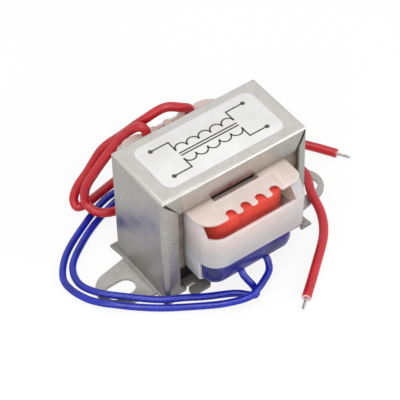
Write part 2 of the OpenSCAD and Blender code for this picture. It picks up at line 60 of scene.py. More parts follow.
class Slot(Enum):
    """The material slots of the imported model."""

    BRACKET = "zinc_plated_steel"
    CORE = "core_steel"
    BOBBIN = "bobbin_nylon"
    COVER = "cover_nylon"
    WIRE = "enamelled_copper"
    TIN = "tinned_copper"
    RED_TAPE = "red_tape"
    BLUE_TAPE = "blue_tape"
    RED_JACKET = "red_pvc"
    BLUE_JACKET = "blue_pvc"
    LABEL = "label_film"


def linear(red: int, green: int, blue: int) -> Colour:
    """Turns a colour written as seen on a screen into the linear values that a shader takes.

    Args:
        red: Red from 0 to 255.
        green: Green from 0 to 255.
        blue: Blue from 0 to 255.

    Returns:
        The three linear values from 0 to 1.
    """
    return tuple(
        c / 12.92 if c <= 0.04045 else ((c + 0.055) / 1.055) ** 2.4
        for c in (red / 255, green / 255, blue / 255)
    )


# Node graphs


class Graph:
    """A node tree, with short ways to add nodes and to join them."""

    def __init__(self, tree: bpy.types.NodeTree) -> None:
        """Takes the tree to work on.

        Args:
            tree: The node tree.
        """
        self.tree = tree

    def add(self, kind: str, inputs: dict | None = None, **settings: object) -> bpy.types.Node:
        """Adds a node.

        Args:
            kind: The node's type name.
            inputs: Input name or index to a value or to another node's output.
            settings: Properties to set on the node.

        Returns:
            The new node.
        """
        node = self.tree.nodes.new(kind)
        for key, value in settings.items():
            setattr(node, key, value)
        for key, value in (inputs or {}).items():
            self.feed(node, key, value)
        return node

    def out(self, kind: str, inputs: dict | None = None, **settings: object) -> Socket:
        """Adds a node as add() does and returns its first output."""
        return self.add(kind, inputs, **settings).outputs[0]

    def feed(self, node: bpy.types.Node, key: str | int, value: object) -> None:
        """Sets one input to a value, or links an output into it.

        Args:
            node: The node that takes the value.
            key: The input's name or index.
            value: A number, a colour or another node's output.
        """
        if isinstance(value, Socket):
            self.tree.links.new(value, node.inputs[key])
        elif isinstance(value, tuple) and len(value) == 3 and node.inputs[key].type == "RGBA":
            node.inputs[key].default_value = (*value, 1.0)
        else:
            node.inputs[key].default_value = value

    def math(self, kind: str, first: object, second: object = 0.0) -> Socket:
        """Adds one arithmetic step.

        Args:
            kind: The operation.
            first: First value.
            second: Second value.

        Returns:
            The result.
        """
        return self.out("ShaderNodeMath", {0: first, 1: second}, operation=kind)


class SurfaceGraph(Graph):
    """The node graph of a new material, with the patterns that the finishes are made of."""

    def __init__(self, name: str) -> None:
        """Starts a material with only its surface shader.

        Args:
            name: The material's name.
        """
        self.material = bpy.data.materials.new(name)
        self.material.use_nodes = True
        super().__init__(self.material.node_tree)
        self.surface = self.tree.nodes["Principled BSDF"]
        self.place = self.add("ShaderNodeTexCoord").outputs["Object"]

    def set(self, **inputs: object) -> None:
        """Sets the surface shader's inputs by name, with underscores for spaces."""
        for key, value in inputs.items():
            self.feed(self.surface, key.replace("_", " "), value)

    def noise(self, scale: float, detail: float = 3.0, rough: float = 0.5,
              where: Socket | None = None) -> Socket:
        """Adds cloudy noise from 0 to 1.

        Args:
            scale: Cells per metre of the coordinates.
            detail: Octaves.
            rough: Strength of the finer octaves.
            where: Coordinates, or None for the object's own.

        Returns:
            The noise value.
        """
        return self.out("ShaderNodeTexNoise", {
            "Vector": where or self.place, "Scale": scale, "Detail": detail, "Roughness": rough,
        })

    def streaks(self, scale: Point, detail: float, rough: float = 0.5,
                turn: Point = (0.0, 0.0, 0.0)) -> Socket:
        """Adds noise that has its own scale along each axis.

        Args:
            scale: Cells per metre along X, Y and Z.
            detail: Octaves.
            rough: Strength of the finer octaves.
            turn: Turn about X, Y and Z in radians.

        Returns:
            The noise value.
        """
        inputs = {"Vector": self.place, "Scale": scale, "Rotation": turn}
        return self.noise(1, detail, rough, self.out("ShaderNodeMapping", inputs))

    def cells(self, scale: float) -> Socket:
        """Adds patches that each have one random value from 0 to 1.

        Args:
            scale: Patches per metre.

        Returns:
            The value.
        """
        node = self.add("ShaderNodeTexVoronoi", {"Vector": self.place, "Scale": scale})
        return self.out("ShaderNodeSeparateColor", {0: node.outputs["Color"]})

    def axis(self, name: str) -> Socket:
        """Gives one of the object's own coordinates, in millimetres.

        Args:
            name: X, Y or Z.

        Returns:
            The coordinate.
        """
        split = self.add("ShaderNodeSeparateXYZ", {0: self.place})
        return self.math("MULTIPLY", split.outputs[name], 1 / MM)

    def ramp(self, value: Socket, *stops: tuple[float, Colour]) -> Socket:
        """Turns a value into a colour between two stops.

        Args:
            value: The value from 0 to 1.
            stops: Place and colour of both stops.

        Returns:
            The colour.
        """
        node = self.add("ShaderNodeValToRGB", {0: value})
        for point, (place, colour) in zip(node.color_ramp.elements, stops):
            point.position = place
            point.color = (*colour, 1.0)
        return node.outputs[0]

    def span(self, value: Socket, low: float, high: float, start: float = 0.3,
             end: float = 0.7) -> Socket:
        """Maps a value from one range to another.

        Args:
            value: The value to map.
            low: Result at start.
            high: Result at end.
            start: Value that gives low.
            end: Value that gives high.

        Returns:
            The mapped value.
        """
        return self.out("ShaderNodeMapRange", {0: value, 1: start, 2: end, 3: low, 4: high})

    def blend(self, share: object, first: object, second: object, mode: str = "MIX") -> Socket:
        """Mixes two colours.

        Args:
            share: Share of the second colour.
            first: The first colour.
            second: The second colour.
            mode: Blend mode.

        Returns:
            The mixed colour.
        """
        inputs = {0: share, 6: first, 7: second}
        return self.add("ShaderNodeMix", inputs, data_type="RGBA", blend_type=mode).outputs[2]

    def times(self, first: object, second: object) -> Socket:
        """Multiplies a colour by a grey value or by another colour."""
        return self.blend(1.0, first, second, "MULTIPLY")

    def bump(self, height: Socket, depth: float, strength: float = 1.0,
             under: Socket | None = None) -> Socket:
        """Makes a bump from a height.

        Args:
            height: Height from 0 to 1.
            depth: What a height of 1 stands for, in millimetres.
            strength: Strength of the bump.
            under: A bump below this one.

        Returns:
            The bent normal.
        """
        inputs = {"Height": height, "Distance": depth * MM, "Strength": strength}
        if under is not None:
            inputs["Normal"] = under
        return self.out("ShaderNodeBump", inputs)


class FormGraph(Graph):
    """A geometry node tree with named inputs that ends in plain, painted mesh."""

    def __init__(self, name: str, values: dict[str, float | int]) -> None:
        """Starts the tree and its inputs.

        Args:
            name: The tree's name.
            values: Name and value of each input.
        """
        super().__init__(bpy.data.node_groups.new(name, "GeometryNodeTree"))
        self.values = values
        self.keys = {}
        face = self.tree.interface
        face.new_socket("Geometry", in_out="INPUT", socket_type="NodeSocketGeometry")
        for key, value in values.items():
            kind = "NodeSocketInt" if isinstance(value, int) else "NodeSocketFloat"
            socket = face.new_socket(key, in_out="INPUT", socket_type=kind)
            socket.default_value = value
            self.keys[key] = socket.identifier
        face.new_socket("Geometry", in_out="OUTPUT", socket_type="NodeSocketGeometry")
        self.given = self.add("NodeGroupInput").outputs

    def join(self, *forms: Socket) -> Socket:
        """Joins several forms into one."""
        node = self.add("GeometryNodeJoinGeometry")
        for form in forms:
            self.feed(node, 0, form)
        return node.outputs[0]

    def swept(self, curve: Socket, section: Socket) -> Socket:
        """Sweeps a section along a curve and closes its ends."""
        inputs = {"Curve": curve, "Profile Curve": section, "Fill Caps": True}
        return self.out("GeometryNodeCurveToMesh", inputs)

    def close(self, form: Socket, material: Material) -> None:
        """Makes the form real, paints it and hands it out of the tree.

        Args:
            form: The finished form.
            material: Its finish.
        """
        real = self.out("GeometryNodeRealizeInstances", {0: form})
        painted = self.out("GeometryNodeSetMaterial", {"Geometry": real, "Material": material})
        self.add("NodeGroupOutput", {0: painted})

    def apply_to(self, piece: Piece) -> None:
        """Runs the tree on a piece and keeps the result as plain mesh."""
        modifier = piece.modifiers.new(self.tree.name, "NODES")
        modifier.node_group = self.tree
        for key, value in self.values.items():
            modifier[self.keys[key]] = value
        bake(piece)


# Finishes


@dataclass(frozen=True)
class Finish(ABC):
    """A surface finish. Noise scales are in cells per metre, other lengths in millimetres."""

    name: str

    def build(self) -> Material:
        """Builds the finish.

        Returns:
            The material.
        """
        graph = SurfaceGraph(self.name)
        self.paint(graph)
        return graph.material

    @abstractmethod
    def paint(self, g: SurfaceGraph) -> None:
        """Sets up the material's surface.

        Args:
            g: The material's graph.
        """


@dataclass(frozen=True)
class ZincSteel(Finish):
    """Zinc-plated sheet: spangled, with rolling marks and scratches, and painted shade on the lower
    legs and feet.
    """

    name: str = Slot.BRACKET.value
    light: Colour = linear(206, 203, 198)
    dark: Colour = linear(195, 192, 187)
    fleck: Colour = linear(232, 230, 226)
    scratch: Colour = linear(140, 136, 132)
    roughness: float = 0.28
    # Painted shade: share of the colour kept at the foot of the legs and on the feet.
    painted_leg_shade: float = 0.58
    leg_z: Range = (2.0, 22.0)
    painted_foot_shade: float = 0.74
    foot_x: float = 22.6
    metal: Range = (0.5, 0.92)
    metal_z: Range = (0.9, 3.0)

    def paint(self, g: SurfaceGraph) -> None:
        """Lays spangle, bright flecks, scratches and painted shade over the plate."""
        plate = g.ramp(g.noise(420, 5, 0.65), (0.3, self.dark), (0.62, self.light))
        plate = g.times(plate, g.span(g.cells(1500), 0.975, 1.01, 0.0, 1.0))
        # Painted shade: the legs darken towards the floor, and the feet are darkened by a fixed
        # share.
        height_shade = g.span(g.axis("Z"), self.painted_leg_shade, 1.0, *self.leg_z)
        out = g.math("GREATER_THAN", g.math("ABSOLUTE", g.axis("X")), self.foot_x)
        plate = g.times(plate, g.math("MAXIMUM", height_shade, g.math("MULTIPLY", out, self.painted_foot_shade)))
        rolled = g.streaks((150, 4200, 4200), 2)
        cuts = g.streaks((900, 60, 5200), 3, 0.6, (0.2, 0.5, 0.3))
        plate = g.blend(g.span(g.noise(3400, 2), 0.0, 0.2, 0.64, 0.72), plate, self.fleck)
        deep = g.math("MULTIPLY", g.span(cuts, 0.0, 1.0, 0.62, 0.7), 0.1)
        g.set(
            Base_Color=g.blend(deep, plate, self.scratch),
            Metallic=g.span(g.axis("Z"), *self.metal, *self.metal_z),
            Roughness=g.span(g.noise(220), self.roughness - 0.05, self.roughness + 0.12),
            Normal=g.bump(cuts, 0.005, 0.08, g.bump(rolled, 0.002, 0.05)),
        )


@dataclass(frozen=True)
class CoreSteel(Finish):
    """Varnished silicon steel, tan, with painted shadow near black at the foot and round the
    middle.
    """

    name: str = Slot.CORE.value
    light: Colour = linear(184, 170, 158)
    dark: Colour = linear(136, 122, 112)
    # Colour of the painted shadow at the foot and round the middle.
    painted_shadow: Colour = linear(34, 30, 28)
    foot_z: Range = (6.2, 8.4)
    middle_x: Range = (12.0, 16.5)
    middle_share: float = 0.9

    def paint(self, g: SurfaceGraph) -> None:
        """Clouds the steel and paints shadow on its foot and middle."""
        # Painted shadow: the recess at the foot and the middle, between the lips and the bobbin, go
        # near black.
        foot = g.span(g.axis("Z"), 1.0, 0.0, *self.foot_z)
        middle = g.span(g.math("ABSOLUTE", g.axis("X")), 1.0, 0.0, *self.middle_x)
        shadow_share = g.math("MAXIMUM", foot, g.math("MULTIPLY", middle, self.middle_share))
        cloud = g.ramp(g.noise(260, 5, 0.6), (0.3, self.dark), (0.7, self.light))
        g.set(
            Base_Color=g.blend(shadow_share, cloud, self.painted_shadow),
            Metallic=0.35,
            Roughness=g.span(g.noise(600), 0.45, 0.7),
            Normal=g.bump(g.noise(2600), 0.02, 0.4),
        )


@dataclass(frozen=True)
class Nylon(Finish):
    """Milky moulded nylon that light enters, with a faint flow pattern and a fine satin grain."""

    colour: Colour
    shade: Colour
    glow: float = 0.65
    depth: float = 2.4
    reach: Point = (1.0, 0.72, 0.6)

    def paint(self, g: SurfaceGraph) -> None:
        """Sets the milky body and its satin face."""
        flow = g.streaks((90, 90, 240), 4, 0.55)
        g.set(
            Base_Color=g.ramp(flow, (0.25, self.shade), (0.62, self.colour)),
            Roughness=g.span(g.noise(500, 4), 0.32, 0.48),
            Normal=g.bump(g.noise(1500), 0.02, 0.25),
            Subsurface_Weight=self.glow,
            Subsurface_Radius=self.reach,
            Subsurface_Scale=self.depth * MM,
            Coat_Weight=0.2,
            Coat_Roughness=0.2,
        )


@dataclass(frozen=True)
class Tape(Finish):
    """Polyester tape: glossy film over coloured adhesive, darker in patches that wetted out."""

    colour: Colour
    deep: Colour
    gloss: float
    patch: float
    coat: float
    share: float = 0.5
    crease: float = 0.12

    def paint(self, g: SurfaceGraph) -> None:
        """Sets the wetted patches and the creases under a clear coat."""
        creases = g.streaks((160, 160, 520), 4, 0.6)
        patch = (self.patch, self.patch, self.patch * 0.55)
        wetted = g.streaks(patch, 2, 0.45, (0.0, 0.3, 0.4))
        edge = g.span(wetted, 0.0, 1.0, self.share - 0.015, self.share + 0.015)
        g.set(
            Base_Color=g.times(g.blend(edge, self.deep, self.colour), g.span(creases, 0.86, 1.08)),
            Roughness=g.span(g.noise(300), self.gloss, self.gloss + 0.14),
            Normal=g.bump(edge, 0.03, 0.6, g.bump(creases, self.crease, 0.5)),
            Coat_Weight=self.coat,
            Coat_Roughness=0.07,
        )


@dataclass(frozen=True)
class Jacket(Finish):
    """Soft vinyl wire insulation with a faint sheen and slight handling marks."""

    colour: Colour
    deep: Colour
    roughness: float = 0.3
    depth: float = 0.6
    reach: Point = (1.0, 0.4, 0.4)

    def paint(self, g: SurfaceGraph) -> None:
        """Sets the mottled vinyl and its sheen."""
        g.set(
            Base_Color=g.ramp(g.noise(240, 4, 0.6), (0.25, self.deep), (0.6, self.colour)),
            Roughness=g.span(g.noise(700), self.roughness - 0.06, self.roughness + 0.1),
            Normal=g.bump(g.noise(1500), 0.02, 0.35),
            Subsurface_Weight=0.1,
            Subsurface_Radius=self.reach,
            Subsurface_Scale=self.depth * MM,
            Coat_Weight=0.16,
            Coat_Roughness=0.1,
        )


@dataclass(frozen=True)
class Tinned(Finish):
    """Tinned copper: bright, soft-edged metal with small bumps of solder."""

    name: str = Slot.TIN.value
    colour: Colour = linear(214, 212, 208)
    dark: Colour = linear(172, 168, 162)

    def paint(self, g: SurfaceGraph) -> None:
        """Sets the lumpy bright metal."""
        lumps = g.noise(1400, 4)
        g.set(
            Base_Color=g.ramp(lumps, (0.3, self.dark), (0.65, self.colour)),
            Metallic=0.9,
            Roughness=g.span(g.noise(900), 0.28, 0.46),
            Normal=g.bump(lumps, 0.04, 0.5),
        )


@dataclass(frozen=True)
class LabelFilm(Finish):
    """White polyester label film with a silky face."""

    name: str = Slot.LABEL.value
    colour: Colour = linear(240, 240, 238)
    shade: Colour = linear(232, 231, 229)

    def paint(self, g: SurfaceGraph) -> None:
        """Sets the faintly uneven white film."""
        g.set(
            Base_Color=g.ramp(g.noise(140), (0.3, self.shade), (0.6, self.colour)),
            Roughness=g.span(g.noise(700), 0.4, 0.55),
            Normal=g.bump(g.noise(900), 0.01, 0.2),
        )


@dataclass(frozen=True)
class Ink(Finish):
    """Printed ink, slightly uneven where the film shows through."""

    colour: Colour
    lift: float = 0.05

    def paint(self, g: SurfaceGraph) -> None:
        """Sets the ink and its paler spots."""
        pale = tuple(min(1.0, c + self.lift) for c in self.colour)
        g.set(
            Base_Color=g.ramp(g.noise(2500), (0.35, self.colour), (0.75, pale)),
            Roughness=g.span(g.noise(900, 2), 0.45, 0.6),
        )


@dataclass(frozen=True)
class Copper(Finish):
    """Enamelled copper wire, wound close."""

    name: str = Slot.WIRE.value
    colour: Colour = linear(190, 100, 58)
    dark: Colour = linear(120, 52, 24)

    def paint(self, g: SurfaceGraph) -> None:
        """Sets the fine lines of the turns under enamel."""
        turns = g.streaks((40, 40, 5200), 2)
        g.set(
            Base_Color=g.ramp(turns, (0.35, self.dark), (0.65, self.colour)),
            Metallic=0.85,
            Roughness=g.span(g.noise(500, 2), 0.22, 0.36),
            Normal=g.bump(turns, 0.06, 0.6),
            Coat_Weight=0.3,
        )


# Mesh tools


def put(name: str, data: bpy.types.ID) -> Piece:
    """Makes an object of a mesh, lamp or camera, puts it in the scene and returns it."""
    made = bpy.data.objects.new(name, data)
    bpy.context.scene.collection.objects.link(made)
    return made


def new_piece(name: str, mesh: Mesh, material: Material) -> Piece:
    """Makes an object from a mesh, gives it a finish and lets it ride on the body.

    Args:
        name: The piece's name.
        mesh: Its mesh, in metres in the model's frame.
        material: Its finish.

    Returns:
        The new object.
    """
    piece = put(name, mesh)
    mesh.materials.clear()
    mesh.materials.append(material)
    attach(piece, BODY)
    return piece


def to_mesh(build: Build, name: str) -> Mesh:
    """Turns a mesh in work into a finished one and frees it.

    Args:
        build: The mesh in work.
        name: The finished mesh's name.

    Returns:
        The finished mesh.
    """
    mesh = bpy.data.meshes.new(name)
    build.to_mesh(mesh)
    build.free()
    return mesh


def ring(build: Build, centre: Vector, across: Vector, up: Vector, radius: float,
         sides: int) -> list[bmesh.types.BMVert]:
    """Adds a ring of corners.

    Args:
        build: The mesh in work.
        centre: Its centre.
        across: One direction in the ring's plane.
        up: The other direction, square to it.
        radius: Its radius.
        sides: How many corners it has.

    Returns:
        The corners in order.
    """
    turns = (2 * math.pi * k / sides for k in range(sides))
    return [
        build.verts.new(centre + radius * (across * math.cos(a) + up * math.sin(a))) for a in turns
    ]


def clean_copy(node: Piece) -> Mesh:
    """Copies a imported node's mesh with its triangles joined into flat faces.

    Args:
        node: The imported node.

    Returns:
        The joined copy.
    """
    build = bmesh.new()
    build.from_mesh(node.data)
    bmesh.ops.remove_doubles(build, verts=build.verts, dist=MERGE * MM)
    bmesh.ops.dissolve_limit(
        build, angle_limit=math.radians(FLAT), verts=build.verts, edges=build.edges
    )
    return to_mesh(build, node.name + "_form")


def smooth_by_angle(mesh: Mesh, degrees: float) -> None:
    """Shades a mesh smooth except across edges that turn by more than an angle."""
    mesh.shade_smooth()
    mesh.set_sharp_from_angle(angle=math.radians(degrees))


def round_edges(piece: Piece, width: float, degrees: float) -> None:
    """Adds a small round along a piece's sharp edges and makes it part of the mesh.

    Args:
        piece: The piece.
        width: Width of the round in millimetres.
        degrees: Only edges that turn by more than this are rounded.
    """
    bevel = piece.modifiers.new("edge_round", "BEVEL")
    bevel.width = width * MM
    bevel.segments = ROUND_STEPS
    bevel.limit_method = "ANGLE"
    bevel.angle_limit = math.radians(degrees)
    bake(piece)
    smooth_by_angle(piece.data, degrees)


def bake(piece: Piece) -> None:
    """Turns a piece's modifiers into plain mesh, keeping its finishes."""
    graph = bpy.context.evaluated_depsgraph_get()
    graph.update()
    made = bpy.data.meshes.new_from_object(piece.evaluated_get(graph))
    piece.modifiers.clear()
    old = piece.data
    if not made.materials:
        for material in old.materials:
            made.materials.append(material)
    piece.data = made
    bpy.data.meshes.remove(old)


def dress_copy(name: str, node: str, material: Material, width: float = 0.0,
               degrees: float = SHARP) -> Piece:
    """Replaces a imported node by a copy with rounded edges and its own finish.

    Args:
        name: The new piece's name.
        node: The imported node's name.
        material: The finish.
        width: Width of the edge round in millimetres, or 0 for none.
        degrees: Angle above which an edge stays sharp or is rounded.

    Returns:
        The piece.
    """
    piece = new_piece(name, clean_copy(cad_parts[node]), material)
    smooth_by_angle(piece.data, degrees)
    if width:
        round_edges(piece, width, degrees)
    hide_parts(node)
    return piece


class Assembly(ABC):
    """Pieces that are made together. Each kind holds its own sizes, in millimetres."""

    @abstractmethod
    def build(self) -> list[Piece]:
        """Builds the pieces.

        Returns:
            The pieces.
        """


# Leads


def between(first: Vector, second: Vector, low: float, high: float, at: float) -> Vector:
    """Returns the point between one that belongs to low and one that belongs to high."""
    return first * (high - at) / (high - low) + second * (at - low) / (high - low)


def spline(points: Sequence[Vector], steps: int) -> list[Vector]:
    """Draws a smooth line through points, spacing its parameter by the root of each step's length.

    Args:
        points: The points to pass through.
        steps: Pieces of line between neighbouring points.

    Returns:
        Points along the smooth line.
    """
    ends = [2 * points[0] - points[1], *points, 2 * points[-1] - points[-2]]
    line = []
    for i in range(len(ends) - 3):
        p = ends[i:i + 4]
        t = [0.0]
        for a, b in zip(p, p[1:]):
            t.append(t[-1] + max((b - a).length, 1e-9) ** 0.5)
        for s in range(steps):
            u = t[1] + (t[2] - t[1]) * s / steps
            near = [between(p[k], p[k + 1], t[k], t[k + 1], u) for k in range(3)]
            far = [between(near[k], near[k + 1], t[k], t[k + 2], u) for k in range(2)]
            line.append(between(far[0], far[1], t[1], t[2], u))
    line.append(points[-1].copy())
    return line


def sweep(line: Sequence[Vector], radii: Sequence[float], sides: int, name: str) -> Mesh:
    """Sweeps a round section along a line without twist and closes both ends.

    Args:
        line: Points of the centre line.
        radii: Radius at each point.
        sides: Sides of the section.
        name: The mesh's name.

    Returns:
        The closed tube, with a UV map whose V is the distance along the line in metres.
    """
    build = bmesh.new()
    rings = []
    distances = []
    along = 0.0
    side = (line[1] - line[0]).normalized().orthogonal().normalized()
    for i, point in enumerate(line):
        before, after = line[max(i - 1, 0)], line[min(i + 1, len(line) - 1)]
        along += (point - before).length
        distances.append(along)
        heading = (after - before).normalized()
        side = (side - side.dot(heading) * heading).normalized()
        rings.append(ring(build, point, side, heading.cross(side), radii[i], sides))
    layer = build.loops.layers.uv.new("along")
    for i in range(len(rings) - 1):
        for k in range(sides):
            n = (k + 1) % sides
            face = build.faces.new((rings[i][k], rings[i][n], rings[i + 1][n], rings[i + 1][k]))
            face.smooth = True
            for loop, (u, v) in zip(face.loops, ((k, i), (k + 1, i), (k + 1, i + 1), (k, i + 1))):
                loop[layer].uv = (u / sides, distances[v])
    build.faces.new(list(reversed(rings[0])))
    build.faces.new(rings[-1])
    return to_mesh(build, name)


@dataclass
class Twist:
    """Equal strands laid in a helix round one core strand. Lengths are in metres."""

    length: float
    width: float
    material: Material
    count: int = 6
    turns: float = 0.6
    helix_steps: int = 14
    strand_sides: int = 8

    def graph(self) -> FormGraph:
        """Returns the node tree."""
        # Equal strands touch when each is a third of the whole twist.
        g = FormGraph("twisted_strands", {
            "Length": self.length, "Strand Radius": self.width / 6, "Lay Radius": self.width / 3,
            "Turns": self.turns, "Strands": self.count,
        })
        length, lay, strands = g.given["Length"], g.given["Lay Radius"], g.given["Strands"]
        helix = g.out("GeometryNodeCurveSpiral", {
            "Resolution": self.helix_steps, "Rotations": g.given["Turns"],
            "Start Radius": lay, "End Radius": lay, "Height": length,
        })
        inputs = {"Geometry": helix, "Amount": strands}
        copies = g.add("GeometryNodeDuplicateElements", inputs, domain="SPLINE").outputs
        step = g.math("DIVIDE", 2 * math.pi, strands)
        angle = g.math("MULTIPLY", copies["Duplicate Index"], step)
        inputs = {"Vector": g.out("GeometryNodeInputPosition"), "Angle": angle}
        place = g.out("ShaderNodeVectorRotate", inputs, rotation_type="Z_AXIS")
        inputs = {"Geometry": copies["Geometry"], "Position": place}
        laid = g.out("GeometryNodeSetPosition", inputs)
        top = g.out("ShaderNodeCombineXYZ", {"Z": length})
        core = g.out("GeometryNodeCurvePrimitiveLine", {"End": top})
        section = g.out("GeometryNodeCurvePrimitiveCircle", {
            "Resolution": self.strand_sides, "Radius": g.given["Strand Radius"],
        })
        g.close(g.swept(g.join(laid, core), section), self.material)
        return g


@dataclass
class Lead:
    """One insulated lead with its cut end and its tinned strands. Lengths are in millimetres."""

    name: str
    conductor: str
    slot: Slot
    diameter: float
    length: float
    route: Sequence[Point]
    jacket: Material
    # Finish of the cut face, a pale painted highlight.
    cut: Material
    tin: Material
    strip: float = 3.4
    wire: float = 0.8
    sides: int = 20
    steps: int = 8
    chamfer: float = 0.12
    end_share: float = 0.94
    cut_sides: int = 24
    # Share of the radius, and lift along the lead, of each ring of the dished cut face.
    cut_rings: tuple[Range, ...] = ((0.9, -0.02), (0.88, 0.06), (0.52, 0.05), (0.4, -0.02))

    def line(self) -> list[Vector]:
        """Returns the smooth centre line in metres, kept above the floor."""
        rest = self.diameter / 2 * MM
        smooth = spline([Vector(p) * MM for p in self.route], self.steps)
        return [Vector((p.x, p.y, max(p.z, rest))) for p in smooth]

    def build(self) -> list[Piece]:
        """Returns:
            The pieces.
        """
        line = self.line()
        radius = self.diameter / 2 * MM
        ahead = (line[-1] - line[-2]).normalized()
        line.insert(-1, line[-1] - ahead * self.chamfer * MM)
        radii = [radius] * (len(line) - 1) + [radius * self.end_share]
        mesh = sweep(line, radii, self.sides, self.name)
        tube = new_piece(self.name + "_jacket", mesh, self.jacket)
        tip = line[-1]
        face = self.cut_face(tip, ahead, radius)
        strands = self.strands(tip, ahead)
        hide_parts(self.name)
        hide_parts(self.conductor)
        return [tube, face, strands]

    def cut_face(self, tip: Vector, ahead: Vector, radius: float) -> Piece:
        """Builds the cut face of the insulation, painted pale as a highlight: a thin ring with a
        dished middle.

        Args:
            tip: Where the insulation ends.
            ahead: The lead's direction there.
            radius: The insulation's radius in metres.

        Returns:
            The ring.
        """
        build = bmesh.new()
        side = ahead.orthogonal().normalized()
        up = ahead.cross(side)
        rings = [
            ring(build, tip + ahead * lift * MM, side, up, radius * share, self.cut_sides)
            for share, lift in self.cut_rings
        ]
        for low, high in zip(rings, rings[1:]):
            for k in range(self.cut_sides):
                n = (k + 1) % self.cut_sides
                build.faces.new((low[k], low[n], high[n], high[k])).smooth = True
        build.faces.new(rings[-1])
        build.faces.new(list(reversed(rings[0])))
        mesh = to_mesh(build, self.name + "_cut")
        return new_piece(self.name + "_cut_face", mesh, self.cut)

    def strands(self, tip: Vector, ahead: Vector) -> Piece:
        """Builds the twisted strands that stand out of the insulation.

        Args:
            tip: Where the insulation ends.
            ahead: The lead's direction there.

        Returns:
            The strands as one mesh.
        """
        piece = put(self.name + "_strands", bpy.data.meshes.new("strands_seed"))
        Twist(self.strip * MM, self.wire * MM, self.tin).graph().apply_to(piece)
        turn = Vector((0, 0, 1)).rotation_difference(ahead).to_matrix().to_4x4()
        piece.data.transform(Matrix.Translation(tip) @ turn)
        piece.data.shade_smooth()
        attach(piece, BODY)
        return piece


